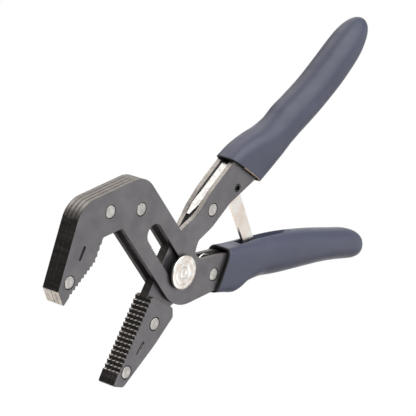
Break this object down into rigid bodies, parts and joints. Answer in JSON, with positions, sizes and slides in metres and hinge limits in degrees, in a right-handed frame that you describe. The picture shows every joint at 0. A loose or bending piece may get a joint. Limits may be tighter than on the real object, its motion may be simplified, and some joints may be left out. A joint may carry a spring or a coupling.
{
  "type": "self-adjusting pliers",
  "caption": "Self-adjusting slip-joint pliers of riveted black plates with a hooked upper jaw, a serrated lower jaw, a slotted pivot and blue moulded grips.",
  "frame": {"origin": "centre of the bounding box on the surface that the pliers lie on, both jaws open", "axes": "+Z along the pivot pin towards its large head, +X from the jaws towards the end of the lower handle, +Y towards the upper handle"},
  "size_m": [0.2246, 0.1623, 0.0172],
  "materials": {
    "black_plate": "satin black oxide",
    "bright_steel": "satin",
    "dark_steel": "matte black oxide",
    "nickel": "bright nickel",
    "grip_vinyl": "soft sheen vinyl"
  },
  "bodies": {
    "hooked_lever": {"front_plate": "black_plate", "rear_plate": "black_plate", "hook_filler_front": "black_plate", "hook_filler_rear": "black_plate", "hook_rivets": "bright_steel", "lower_handle_rivets": "bright_steel", "lower_handle_spacers": "bright_steel", "spring_anchor": "dark_steel", "return_spring": "nickel", "lower_grip": "grip_vinyl"},
    "pivot": {"pivot_pin": "bright_steel", "pivot_washer_front": "dark_steel", "pivot_washer_rear": "dark_steel", "lock_key_front": "dark_steel", "lock_key_rear": "dark_steel"},
    "handled_jaw": {"lever_plate_front": "black_plate", "lever_plate_rear": "black_plate", "jaw_cheek_front": "black_plate", "jaw_cheek_rear": "black_plate", "jaw_rivets": "bright_steel", "upper_handle_rivets": "bright_steel", "upper_handle_spacers": "bright_steel", "link_pin": "dark_steel", "shift_spring": "nickel", "upper_grip": "grip_vinyl"},
    "link": {"control_link": "nickel", "link_foot_pin": "dark_steel"}
  },
  "joints": [
    {"name": "pivot_slide", "type": "slide", "parent": "hooked_lever", "child": "pivot", "axis": [-0.682, 0.7314, 0], "range_m": [0, 0.0259], "stiffness_N_per_m": 300, "springref_m": -0.01},
    {"name": "jaw_swing", "type": "hinge", "parent": "pivot", "child": "handled_jaw", "pos_m": [-0.0312, -0.0309, 0.0085], "axis": [0, 0, 1], "range_deg": [-29.8, 0]},
    {"name": "link_swing", "type": "hinge", "parent": "handled_jaw", "child": "link", "pos_m": [0.0034, 0.0053, 0.0085], "axis": [0, 0, 1], "range_deg": [0, 36.6]}
  ],
  "couplings": [
    {"joint": "jaw_swing", "follows": "pivot_slide", "rad_per_m": -20.071},
    {"joint": "link_swing", "follows": "pivot_slide", "rad_per_m": 24.609}
  ]
}
